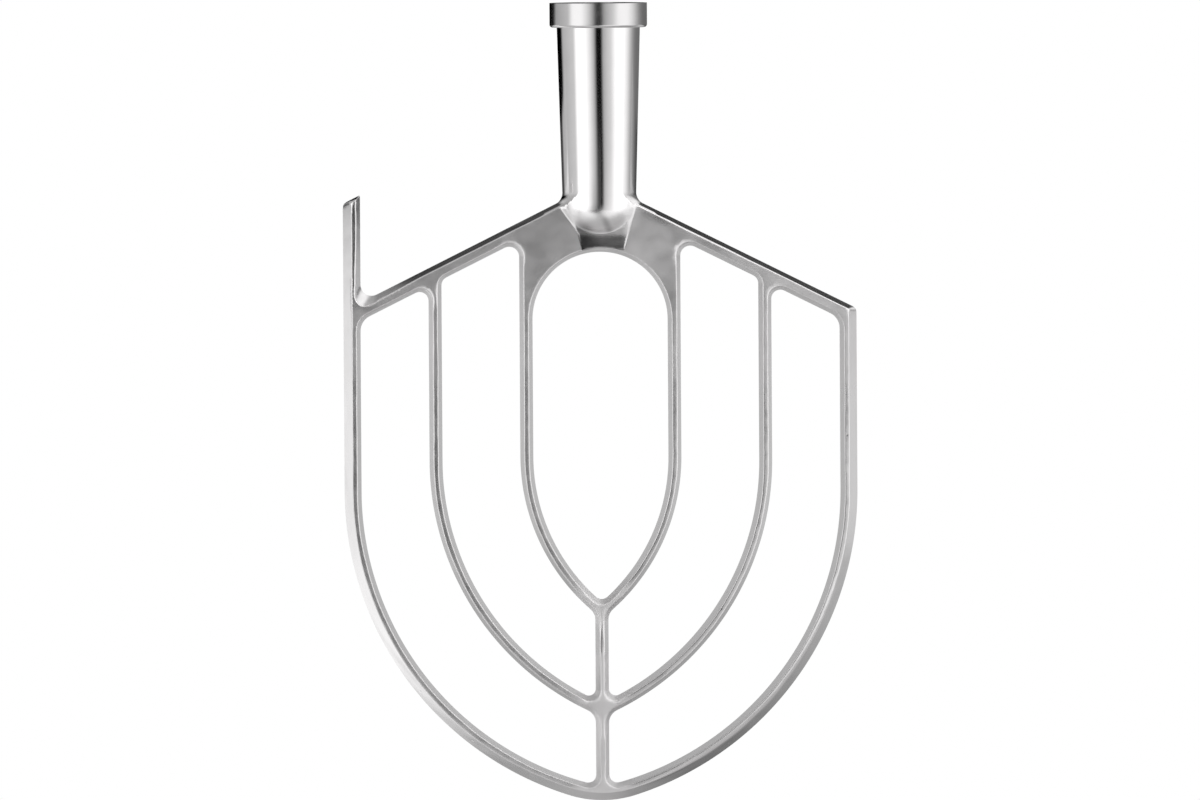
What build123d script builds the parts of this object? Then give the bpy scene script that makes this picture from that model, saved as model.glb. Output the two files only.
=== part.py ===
from build123d import *
import math
import os

# Flat beater of a planetary mixer: a drafted casting that lies in the XZ plane, with its shank up the
# Z axis and a steel drive bush in the top of the shank. The origin is the centre of the collar's top
# face, where the mixer's spindle enters. The front of the paddle faces -Y. Sizes run outwards from the
# axis and downwards from the collar, so the overall width and height follow from them.

# Spindle and cross pin of the mixer
spindle_diameter = 20.0
spindle_clearance = 0.05
pin_diameter = 5.0
pin_reach = 2.2
pin_clearance = 0.2
pin_depth = 36.0
pin_turn = 45.0

# Drive bush
collar_height = 10.0
collar_ledge = 2.95
collar_round = 1.2
sleeve_wall = 1.15
sleeve_tail = 16.0

# Shank
shank_wall = 3.45
shank_draft = 1.6
shank_floor = 43.2
shank_end_round = 9.0
hub_root_radius = 3.0

# Section of the casting: thickness, crest widths on its faces, drafts of its walls
plate_thickness = 18.0
bow_crest = 2.13
post_crest = 2.2
rim_crest = 2.0
shoulder_crest = 3.45
horn_crest = 2.1
gap_draft = 10.0
shoulder_draft = 10.0
rim_draft = 20.5
crest_round = 0.6

# Shoulders and horn
shoulder_rise = 22.0
shoulder_slope = 26.5
shoulder_corner_radius = 3.0
horn_rise = 44.0
horn_top_draft = 3.5
horn_corner_radius = 2.0
horn_notch_radius = 4.5

# Bows, from the axis outwards
loop_width = 55.3
inner_gap_width = 31.85
outer_gap_width = 27.9
inner_arc_offset = 50.5
middle_arc_offset = 43.5
rim_arc_offset = 26.0
rim_tip_radius = 45.0

# Heights, from the shank's end downwards
neck_height = 5.05
loop_straight = 56.05
upper_post_length = 34.55
lower_post_length = 28.5

# Corners of the five gaps
web_corner_radius = 4.1
bow_top_radius = 3.7
rim_top_radius = 6.8
bow_fork_radius = 2.85
under_bow_radius = 5.8
post_foot_radius = 3.3
loop_tip_radius = 3.5

# Straight length left on a bar between a corner's round and the cut across it
cut_margin = 2.0

# Bush and shank radii, heights along the shank
bore_radius = spindle_diameter / 2 + spindle_clearance
groove_radius = spindle_diameter / 2 + pin_reach + pin_clearance
groove_width = pin_diameter + 2 * pin_clearance
sleeve_radius = groove_radius + sleeve_wall
bush_length = pin_depth + sleeve_tail
shank_radius = sleeve_radius + shank_wall
collar_radius = shank_radius + collar_ledge
shank_depth = bush_length + shank_floor
shank_end_radius = shank_radius - (shank_depth - collar_height) * math.tan(math.radians(shank_draft))

# Widths of the bars at the parting plane: crest and both drafted flanks
half_thickness = plate_thickness / 2
gap_flank = half_thickness * math.tan(math.radians(gap_draft))
shoulder_flank = half_thickness * math.tan(math.radians(shoulder_draft))
rim_flank = half_thickness * math.tan(math.radians(rim_draft))
bow_width = bow_crest + 2 * gap_flank
post_half = post_crest / 2 + gap_flank
rim_width = rim_crest + rim_flank + gap_flank
shoulder_width = shoulder_crest + shoulder_flank + gap_flank
horn_width = horn_crest + rim_flank + shoulder_flank

# Distances of the bars' edges from the axis
inner_inside = loop_width / 2
inner_outside = inner_inside + bow_width
middle_inside = inner_outside + inner_gap_width
middle_outside = middle_inside + bow_width
rim_inside = middle_outside + outer_gap_width
half_width = rim_inside + rim_width
horn_inside = half_width - horn_width

# Shoulder line, from its peak on the axis
slope = math.radians(shoulder_slope)
shoulder_peak_z = shoulder_rise - shank_depth


def shoulder_top(x):
    """Height of the shoulders' upper edge at distance x from the axis."""
    return shoulder_peak_z - x * math.tan(slope)


def shoulder_under(x):
    """Height of the shoulders' lower edge at distance x from the axis."""
    return shoulder_top(x) - shoulder_width / math.cos(slope)


def bow_drop(x, half_span, arc_offset):
    """Drop of a bow's edge from its spring to distance x from the axis."""
    return math.sqrt((half_span + arc_offset) ** 2 - (x + arc_offset) ** 2)


def bow_turn(x, half_span, arc_offset):
    """Turn of a bow's edge, in degrees, from its spring to distance x from the axis."""
    return math.degrees(math.acos((x + arc_offset) / (half_span + arc_offset)))


def round_run(radius, corner_angle):
    """Length that a round of a corner takes of each side."""
    return radius / math.tan(math.radians(corner_angle) / 2)


# Heights of the arch and of the bows' springs
arch_z = -shank_depth - neck_height - gap_flank - inner_inside
inner_spring_z = arch_z - loop_straight
inner_meet_z = inner_spring_z - bow_drop(0, inner_outside, inner_arc_offset)
fork_meet_z = inner_meet_z - upper_post_length
middle_spring_z = fork_meet_z + bow_drop(0, middle_inside, middle_arc_offset)
middle_meet_z = middle_spring_z - bow_drop(0, middle_outside, middle_arc_offset)
foot_meet_z = middle_meet_z - lower_post_length
rim_spring_z = foot_meet_z + bow_drop(0, rim_inside, rim_arc_offset)
rim_tip_z = rim_spring_z - bow_drop(0, half_width, rim_arc_offset)

# Heights at the post's side, where it meets each bow
inner_under_z = inner_spring_z - bow_drop(post_half, inner_outside, inner_arc_offset)
fork_z = middle_spring_z - bow_drop(post_half, middle_inside, middle_arc_offset)
middle_under_z = middle_spring_z - bow_drop(post_half, middle_outside, middle_arc_offset)
foot_z = rim_spring_z - bow_drop(post_half, rim_inside, rim_arc_offset)
loop_tip_z = inner_spring_z - bow_drop(0, inner_inside, inner_arc_offset)


def bow_edge(x, half_span, arc_offset, spring_z):
    """Arc of a right bow's edge, from its spring to distance x from the axis."""
    turn = bow_turn(x, half_span, arc_offset)
    return CenterArc((-arc_offset, spring_z), half_span + arc_offset, 0, -turn)


def round_corner(sketch, x, z, radius):
    """Round the corner of a sketch that lies nearest to a point."""
    fillet(sketch.vertices().sort_by_distance(Vector(x, z))[0], radius)


def drafted(profile, angle):
    """Front half of a cast form: the profile at the parting plane, drafted towards the front."""
    with BuildPart() as form:
        extrude(profile.sketch, amount=half_thickness)
        draft(form.faces().filter_by(Axis.Y, reverse=True), Plane.XZ, angle)
    return form.part


# Rim outline: straight sides and two arcs that meet in a rounded tip
with BuildSketch(Plane.XZ) as rim_profile:
    with BuildLine():
        Line((half_width, 0), (half_width, rim_spring_z))
        bow_edge(0, half_width, rim_arc_offset, rim_spring_z)
        mirror(about=Plane.YZ)
        Line((half_width, 0), (-half_width, 0))
    make_face()
    round_corner(rim_profile, 0, rim_tip_z, rim_tip_radius)

# Shoulder outline: two slopes from the axis and the horn's inner side, open to the rim all round
outer_x = 2 * half_width
horn_foot_z = shoulder_top(horn_inside)
horn_top_z = shoulder_top(half_width) + horn_rise
with BuildSketch(Plane.XZ) as shoulder_profile:
    with BuildLine():
        Polyline(
            (0, shoulder_top(0)),
            (outer_x, shoulder_top(outer_x)),
            (outer_x, 2 * rim_tip_z),
            (-outer_x, 2 * rim_tip_z),
            (-outer_x, outer_x),
            (-horn_inside, outer_x),
            (-horn_inside, horn_foot_z),
            close=True,
        )
    make_face()
    round_corner(shoulder_profile, -horn_inside, horn_foot_z, horn_notch_radius)

# Outline below the horn's top, which runs along the left shoulder's slope
with BuildSketch(Plane.XZ) as horn_top_profile:
    with BuildLine():
        Polyline(
            (0, shoulder_top(0) + horn_rise),
            (outer_x, outer_x),
            (outer_x, 2 * rim_tip_z),
            (-outer_x, 2 * rim_tip_z),
            (-outer_x, shoulder_top(outer_x) + horn_rise),
            close=True,
        )
    make_face()

# Outer gap, between the middle bow, the rim and the right shoulder
with BuildSketch(Plane.XZ) as outer_gap_profile:
    with BuildLine():
        Polyline(
            (middle_outside, middle_spring_z),
            (middle_outside, shoulder_under(middle_outside)),
            (rim_inside, shoulder_under(rim_inside)),
            (rim_inside, rim_spring_z),
        )
        bow_edge(post_half, rim_inside, rim_arc_offset, rim_spring_z)
        Line((post_half, foot_z), (post_half, middle_under_z))
        bow_edge(post_half, middle_outside, middle_arc_offset, middle_spring_z)
    make_face()
    round_corner(outer_gap_profile, middle_outside, shoulder_under(middle_outside), bow_top_radius)
    round_corner(outer_gap_profile, rim_inside, shoulder_under(rim_inside), rim_top_radius)
    round_corner(outer_gap_profile, post_half, foot_z, post_foot_radius)
    round_corner(outer_gap_profile, post_half, middle_under_z, under_bow_radius)

# Inner gap, between the inner bow, the middle bow and the right shoulder
with BuildSketch(Plane.XZ) as inner_gap_profile:
    with BuildLine():
        Polyline(
            (inner_outside, inner_spring_z),
            (inner_outside, shoulder_under(inner_outside)),
            (middle_inside, shoulder_under(middle_inside)),
            (middle_inside, middle_spring_z),
        )
        bow_edge(post_half, middle_inside, middle_arc_offset, middle_spring_z)
        Line((post_half, fork_z), (post_half, inner_under_z))
        bow_edge(post_half, inner_outside, inner_arc_offset, inner_spring_z)
    make_face()
    round_corner(inner_gap_profile, inner_outside, shoulder_under(inner_outside), web_corner_radius)
    round_corner(inner_gap_profile, middle_inside, shoulder_under(middle_inside), bow_top_radius)
    round_corner(inner_gap_profile, post_half, fork_z, bow_fork_radius)
    round_corner(inner_gap_profile, post_half, inner_under_z, under_bow_radius)

# Central loop: a round arch above, two arcs that meet on the axis below
with BuildSketch(Plane.XZ) as loop_profile:
    with BuildLine():
        CenterArc((0, arch_z), inner_inside, 0, 90)
        Line((inner_inside, arch_z), (inner_inside, inner_spring_z))
        bow_edge(0, inner_inside, inner_arc_offset, inner_spring_z)
        mirror(about=Plane.YZ)
    make_face()
    round_corner(loop_profile, 0, loop_tip_z, loop_tip_radius)

# Casting: the front half with its gaps, rounded crests, shank, hub root and the pocket for the bush,
# then both halves
right_corner = (half_width, -half_thickness / 2, shoulder_top(half_width))
horn_corner = (-half_width, -half_thickness / 2, horn_top_z)
with BuildPart() as casting:
    add(drafted(rim_profile, rim_draft))
    add(drafted(shoulder_profile, shoulder_draft), mode=Mode.INTERSECT)
    add(drafted(horn_top_profile, horn_top_draft), mode=Mode.INTERSECT)
    for gap_profile in (outer_gap_profile, inner_gap_profile):
        gap = drafted(gap_profile, -gap_draft)
        add(gap, mode=Mode.SUBTRACT)
        add(gap.mirror(Plane.YZ), mode=Mode.SUBTRACT)
    add(drafted(loop_profile, -gap_draft), mode=Mode.SUBTRACT)
    fillet(casting.edges().sort_by_distance(right_corner)[0], shoulder_corner_radius)
    fillet(casting.edges().sort_by_distance(horn_corner)[0], horn_corner_radius)
    fillet(casting.faces().sort_by(Axis.Y)[0].edges(), crest_round)
    with BuildSketch(Plane.XZ) as shank_profile:
        with BuildLine():
            Polyline(
                (0, -shank_depth),
                (0, -collar_height),
                (shank_radius, -collar_height),
                (shank_end_radius, -shank_depth),
                close=True,
            )
        make_face()
        round_corner(shank_profile, shank_end_radius, -shank_depth, shank_end_round)
    revolve(axis=Axis.Z, revolution_arc=-180)
    fillet(casting.edges(Select.NEW), hub_root_radius)
    with BuildSketch(Plane.XY.offset(-collar_height)):
        Circle(sleeve_radius)
    extrude(amount=collar_height - bush_length, mode=Mode.SUBTRACT)
    add(casting.part.mirror(Plane.XZ), clean=False)

# Drive bush: collar and sleeve with the spindle's bore, two bayonet grooves inside
with BuildPart() as drive_bush:
    with BuildSketch(Plane.XZ) as bush_profile:
        with BuildLine():
            Polyline(
                (bore_radius, 0),
                (collar_radius, 0),
                (collar_radius, -collar_height),
                (sleeve_radius, -collar_height),
                (sleeve_radius, -bush_length),
                (bore_radius, -bush_length),
                close=True,
            )
        make_face()
        round_corner(bush_profile, collar_radius, -collar_height, collar_round)
    revolve(axis=Axis.Z)
    with BuildSketch(Plane.XY):
        Rectangle(2 * groove_radius, groove_width)
        Circle(groove_radius, mode=Mode.INTERSECT)
    extrude(amount=-pin_depth - groove_width / 2, mode=Mode.SUBTRACT)
    with BuildSketch(Plane.XZ):
        with Locations((-groove_radius, -pin_depth)):
            Rectangle(groove_radius / 2, groove_width, align=(Align.MIN, Align.CENTER))
        with Locations((groove_radius, -pin_depth)):
            Rectangle(groove_radius / 2, groove_width, align=(Align.MAX, Align.CENTER))
    revolve(axis=Axis.Z, revolution_arc=pin_turn, mode=Mode.SUBTRACT)

# Heights and places of the cuts across the bars, each clear of the rounds beside it
web_run = round_run(web_corner_radius, 90 - shoulder_slope)
notch_run = round_run(horn_notch_radius, 90 - shoulder_slope)
steep_bow_run = round_run(bow_top_radius, 90 - shoulder_slope)
flat_bow_run = round_run(bow_top_radius, 90 + shoulder_slope)
root_x = inner_outside + web_run * math.cos(slope) + cut_margin
end_x = horn_inside - notch_run * math.cos(slope) - cut_margin - shoulder_width * math.sin(slope)
shank_cut_z = shoulder_top(shank_end_radius) + round_run(hub_root_radius, 90 + shoulder_slope) + cut_margin
arch_cut_z = arch_z - cut_margin
middle_cut_z = shoulder_under(middle_outside) - steep_bow_run - cut_margin
horn_cut_z = horn_foot_z + notch_run + cut_margin
foot_turn = bow_turn(post_half, rim_inside, rim_arc_offset)
post_cut_z = foot_z + round_run(post_foot_radius, foot_turn) + cut_margin


def clear_turn(x, half_span, arc_offset, radius, corner_angle):
    """Turn at which a bow's edge is clear of the round at its lower end."""
    run = round_run(radius, corner_angle) + cut_margin
    return bow_turn(x, half_span, arc_offset) - math.degrees(run / (half_span + arc_offset))


def across_shoulder(x, rise):
    """Point at a rise above the right shoulder's lower edge, square across the shoulder from x."""
    return (x + rise * math.sin(slope), shoulder_under(x) + rise * math.cos(slope))


def across_bow(half_span, arc_offset, spring_z, turn):
    """Point at a turn of an arc with the bow's centre."""
    reach = half_span + arc_offset
    angle = math.radians(turn)
    return (reach * math.cos(angle) - arc_offset, spring_z - reach * math.sin(angle))


def flipped(points):
    """Points on the other side of the axis, in the reverse order."""
    return [(-x, z) for x, z in reversed(points)]


tip_turn = bow_turn(0, inner_inside, inner_arc_offset)
fork_turn = bow_turn(post_half, middle_inside, middle_arc_offset)
inner_under_turn = bow_turn(post_half, inner_outside, inner_arc_offset)
middle_under_turn = bow_turn(post_half, middle_outside, middle_arc_offset)
inner_cut_turn = min(
    clear_turn(0, inner_inside, inner_arc_offset, loop_tip_radius, 2 * tip_turn),
    clear_turn(post_half, inner_outside, inner_arc_offset, under_bow_radius, 180 - inner_under_turn),
)
middle_cut_turn = min(
    clear_turn(post_half, middle_inside, middle_arc_offset, bow_fork_radius, fork_turn),
    clear_turn(post_half, middle_outside, middle_arc_offset, under_bow_radius, 180 - middle_under_turn),
)

# Outlines of the members that carry the junctions, for the right side or the right half
root_upper = across_shoulder(root_x, shoulder_width + cut_margin)
root_lower = across_shoulder(root_x, -cut_margin)
end_upper = across_shoulder(end_x, shoulder_width + cut_margin)
end_lower = across_shoulder(end_x, -cut_margin)
bow_outer_x = middle_outside + steep_bow_run * math.cos(slope) + cut_margin
bow_inner_x = middle_inside - flat_bow_run * math.cos(slope) - cut_margin
beyond_x = half_width + cut_margin
hub_half = [
    (root_upper[0], shank_cut_z),
    root_upper,
    root_lower,
    (root_lower[0], arch_cut_z),
]
shoulder_outline = [
    root_upper,
    end_upper,
    end_lower,
    across_shoulder(bow_outer_x, -cut_margin),
    (bow_outer_x, middle_cut_z),
    (bow_inner_x, middle_cut_z),
    across_shoulder(bow_inner_x, -cut_margin),
    root_lower,
]
side_outline = [
    end_upper,
    (end_upper[0], horn_cut_z),
    (beyond_x, horn_cut_z),
    (beyond_x, rim_spring_z),
    (rim_inside - cut_margin, rim_spring_z),
    end_lower,
]
horn_outline = [
    (end_upper[0], horn_cut_z),
    (end_upper[0], 0),
    (beyond_x, 0),
    (beyond_x, horn_cut_z),
]
post_half_outline = [
    across_bow(inner_inside - cut_margin, inner_arc_offset, inner_spring_z, inner_cut_turn),
    across_bow(inner_outside + cut_margin, inner_arc_offset, inner_spring_z, inner_cut_turn),
    across_bow(middle_inside - cut_margin, middle_arc_offset, middle_spring_z, middle_cut_turn),
    across_bow(middle_outside + cut_margin, middle_arc_offset, middle_spring_z, middle_cut_turn),
    (post_half + cut_margin, post_cut_z),
]
shank_half = [(collar_radius, 0), (collar_radius, shank_cut_z)]
member_outlines = {
    "shank": shank_half + flipped(shank_half),
    "hub_web": hub_half + flipped(hub_half),
    "left_shoulder": flipped(shoulder_outline),
    "right_shoulder": shoulder_outline,
    "side_horn": flipped(horn_outline),
    "left_side_bar": flipped(side_outline),
    "right_side_bar": side_outline,
    "centre_post": post_half_outline + flipped(post_half_outline),
}


def block(outline):
    """Block through the whole casting over an outline."""
    with BuildPart() as region:
        with BuildSketch(Plane.XZ):
            with BuildLine():
                Polyline(*outline, close=True)
            make_face()
        extrude(amount=collar_radius, both=True)
    return region.part


def write_node(part, name):
    """Label a finished piece and write it under its name."""
    part.label = name
    export_step(part, f"parts/{name}.step")


os.makedirs("parts", exist_ok=True)
write_node(drive_bush.part, "drive_bush")

# Members with junctions, cut square across their bars
regions = {name: block(outline) for name, outline in member_outlines.items()}
for name, region in regions.items():
    with BuildPart() as member:
        add(casting.part, clean=False)
        add(region, mode=Mode.INTERSECT, clean=False)
    write_node(member.part, name)

# Bows that are left between them
with BuildPart() as bows:
    add(casting.part, clean=False)
    add(regions.values(), mode=Mode.SUBTRACT, clean=False)
bottom_bow, *upper_bows = bows.solids().sort_by(Axis.Z)
upper_names = ("left_middle_bow", "left_inner_bow", "right_inner_bow", "right_middle_bow")
write_node(bottom_bow, "bottom_bow")
for name, bow in zip(upper_names, ShapeList(upper_bows).sort_by(Axis.X)):
    write_node(bow, name)
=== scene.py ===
import math

import bpy
import numpy as np
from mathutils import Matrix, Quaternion, Vector
from mathutils.geometry import delaunay_2d_cdt


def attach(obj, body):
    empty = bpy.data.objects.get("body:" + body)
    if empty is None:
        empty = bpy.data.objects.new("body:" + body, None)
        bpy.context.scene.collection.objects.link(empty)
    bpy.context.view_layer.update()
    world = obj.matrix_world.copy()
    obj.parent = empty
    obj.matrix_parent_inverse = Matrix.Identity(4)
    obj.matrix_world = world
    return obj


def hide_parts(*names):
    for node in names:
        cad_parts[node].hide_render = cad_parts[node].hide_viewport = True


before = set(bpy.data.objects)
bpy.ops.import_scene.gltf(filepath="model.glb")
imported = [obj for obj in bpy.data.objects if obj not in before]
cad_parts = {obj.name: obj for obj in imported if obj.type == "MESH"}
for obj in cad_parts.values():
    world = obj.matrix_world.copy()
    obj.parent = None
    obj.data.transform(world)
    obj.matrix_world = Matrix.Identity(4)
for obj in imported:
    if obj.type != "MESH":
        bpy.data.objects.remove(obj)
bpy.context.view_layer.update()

# The picture: the beater fills the frame's height, seen almost square on through a long lens
IMAGE_WIDTH = 1200
AXIS_COLUMN = 600.55
TOP_ROW = 2.8
CENTRE_ROW = 400
METRES_PER_PIXEL = 0.00040917
CAMERA_DISTANCE = 8.0
CAMERA_TURN = -1.0
CAMERA_RISE = 2.0
CAMERA_ROLL = -0.35
SENSOR_WIDTH = 36.0

# Sizes of the beater in millimetres and degrees, from the axis outwards and from the collar's top downwards
MILLIMETRE = 0.001
HALF_THICKNESS = 9.0
GAP_DRAFT, SHOULDER_DRAFT, RIM_DRAFT, HORN_TOP_DRAFT = 10.0, 10.0, 20.5, 3.5
COLLAR_HEIGHT, BUSH_LENGTH, SLEEVE_RADIUS = 10.0, 52.0, 13.55
SHANK_RADIUS, SHANK_DRAFT, SHANK_DEPTH = 17.0, 1.6, 95.2
LOOP_WIDTH, INNER_GAP_WIDTH, OUTER_GAP_WIDTH = 55.3, 31.85, 27.9
BOW_CREST, POST_CREST, RIM_CREST, SHOULDER_CREST, HORN_CREST = 2.13, 2.2, 2.0, 3.45, 2.1
INNER_ARC, MIDDLE_ARC, RIM_ARC = 50.5, 43.5, 26.0
SHOULDER_PEAK, SHOULDER_SLOPE, HORN_RISE = 73.2, 26.5, 44.0
LOOP_DEPTH, LOOP_STRAIGHT, UPPER_POST, LOWER_POST = 101.84, 56.05, 34.55, 28.5

# Rounds of the shank, of the outline's corners and of the gaps' corners
SHANK_END_ROUND, ROOT_ROUND = 11.0, 5.0
RIM_TIP_ROUND, RIM_CORNER_ROUND, PEAK_ROUND = 45.0, 3.0, 6.0
NOTCH_ROUND, HORN_INNER_ROUND, HORN_TIP_ROUND = 4.5, 0.6, 1.6
INNER_TOP_ROUND, MIDDLE_TOP_ROUND, RIM_TOP_ROUND = 4.1, 3.7, 6.8
LOOP_TIP_ROUND, CROTCH_ROUND, FORK_ROUND, FOOT_ROUND = 3.5, 5.8, 2.85, 3.3

# The cast skin: how softly its edges turn, and its waves
EDGE_SOFTNESS, POST_SOFTNESS, HORN_SOFTNESS, SHOULDER_SOFTNESS = 0.16, 0.36, 0.1, 0.1
RIM_SOFTNESS, LOW_RIM_SOFTNESS = 0.11, 0.3
NOTCH_SCOOP, NOTCH_SCOOP_REACH, NOTCH_FLARE, NOTCH_FLARE_REACH = 1.7, 8, 0.4, 32
WAVE_SEED, WAVE_COUNT, WAVE_SHORTEST, WAVE_LONGEST, WAVE_HEIGHT = 4, 14, 5.0, 26.0, 0.0011

# Profiles down the hub, as heights and the size at each: of the tongue, then of the round at the shank's root
TONGUE_LEFT = ([-100.4, -94.4, -84.0], [-7.6, -9.0, -16.3])
TONGUE_RIGHT = ([-99.6, -94.4, -83.2], [10.4, 11.8, 15.1])
TONGUE_BEVEL = ([-99.0, -94.0, -90.0, -84.0], [0.7, 0.9, 2.0, 3.0])
TONGUE_RISE = ([-101.5, -100.0, -92.0, -88.0, -84.0], [0.0, 0.1, 0.22, 0.7, 1.25])
ROOT_BLEND = ([-95.0, -91.0, -86.6, -80.0], [0.45, 0.8, 2.0, 2.75])

# Limits of the meshing: when points count as one, how the skin is found, and how far apart points lie
SAME, MERGE, NEAR, FAR_AWAY = 1e-6, 1e-4, 1e-3, 1e9
SKIN_HALVINGS, SETTLING_ROUNDS, LONGEST_SETTLING, SLOPE_STEP = 24, 6, 0.5, 0.02
ROUND_STEP, ROW_SHARE = 0.17, 0.866

WHITE = (1.0, 1.0, 1.0, 1.0)


class Value:
    """A node's output, with Python's operators for its maths."""

    def __init__(self, finish, socket):
        self.finish = finish
        self.socket = socket

    def maths(self, operation, first, second=None):
        sockets = {0: first} if second is None else {0: first, 1: second}
        return self.finish.node("ShaderNodeMath", {"operation": operation}, sockets)

    def __add__(self, other):
        return self.maths("ADD", self, other)

    __radd__ = __add__

    def __sub__(self, other):
        return self.maths("SUBTRACT", self, other)

    def __rsub__(self, other):
        return self.maths("SUBTRACT", other, self)

    def __mul__(self, other):
        return self.maths("MULTIPLY", self, other)

    __rmul__ = __mul__

    def __truediv__(self, other):
        return self.maths("DIVIDE", self, other)

    def __pow__(self, other):
        return self.maths("POWER", self, other)

    def __abs__(self):
        return self.maths("ABSOLUTE", self)


class Finish:
    """The node tree of a material or of the world. One method makes all its nodes."""

    def __init__(self, owner):
        owner.use_nodes = True
        self.owner = owner
        self.tree = owner.node_tree
        self.tree.nodes.clear()

    def node(self, kind, settings=None, sockets=None, output=0):
        """Makes a node, with its settings first, then its sockets' values and links."""
        made = self.tree.nodes.new(kind)
        for name, value in (settings or {}).items():
            if name == "stops":
                self.set_stops(made.color_ramp, value)
            else:
                setattr(made, name, value)
        for name, value in (sockets or {}).items():
            if isinstance(value, Value):
                self.tree.links.new(value.socket, made.inputs[name])
            else:
                made.inputs[name].default_value = value
        return Value(self, made.outputs[output]) if made.outputs else made

    @staticmethod
    def set_stops(ramp, stops):
        while len(ramp.elements) < len(stops):
            ramp.elements.new(1.0)
        for element, (place, tone) in zip(ramp.elements, stops):
            element.position = place
            element.color = (tone, tone, tone, 1.0)

    def axes(self, vector):
        """The three parts of a vector."""
        parts = self.node("ShaderNodeSeparateXYZ", {}, {"Vector": vector}).socket.node
        return [Value(self, part) for part in parts.outputs]

    def spread(self, value, low, high, to_low=0.0, to_high=1.0):
        """The value's share of the way from low to high, smoothed at both ends."""
        return self.node(
            "ShaderNodeMapRange",
            {"interpolation_type": "SMOOTHSTEP"},
            {"Value": value, "From Min": low, "From Max": high, "To Min": to_low, "To Max": to_high},
        )

    def within(self, value, start, full, full_end, end):
        """One between the two middle bounds of a value, fading to nothing at the outer two."""
        return self.spread(value, start, full) * self.spread(value, end, full_end)

    def noise(self, place, scale, detail=2.0):
        return self.node("ShaderNodeTexNoise", {}, {"Vector": place, "Scale": scale, "Detail": detail})

    def stretched(self, place, scale):
        """A place with each of its axes scaled."""
        return self.node("ShaderNodeMapping", {}, {"Vector": place, "Scale": scale})

    def larger(self, first, second):
        return self.node("ShaderNodeMath", {"operation": "MAXIMUM"}, {0: first, 1: second})

    def turn_of(self, across, ahead):
        """Turn of a direction to the right of straight ahead, as a share of a round from behind."""
        turn = self.node("ShaderNodeMath", {"operation": "ARCTAN2"}, {0: across, 1: ahead})
        return turn / (2 * math.pi) + 0.5

    def ramp(self, share, stops):
        return self.node("ShaderNodeValToRGB", {"stops": stops}, {"Fac": share})

    def blend(self, share, first, second):
        """A value or colour part of the way from the first to the second."""
        colour_inputs = {"Factor": share, 6: first, 7: second}
        return self.node("ShaderNodeMix", {"data_type": "RGBA"}, colour_inputs, output=2)


def new_finish(name):
    return Finish(bpy.data.materials.new(name))


def grey(tone):
    """A grey with a trace of red, as the metal has in the photograph."""
    return (tone, tone * 0.987, tone * 0.99, 1.0)


def close_metal(finish, colour, roughness, bump_height, bump_distance):
    """Ends a metal finish in its shader and output."""
    bump = {"Strength": 1.0, "Distance": bump_distance, "Height": bump_height}
    normal = finish.node("ShaderNodeBump", {}, bump)
    metal = {"Base Color": colour, "Metallic": 1.0, "Roughness": roughness, "Normal": normal}
    shader = finish.node("ShaderNodeBsdfPrincipled", {}, metal)
    finish.node("ShaderNodeOutputMaterial", {}, {"Surface": shader})
    return finish.owner


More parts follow.
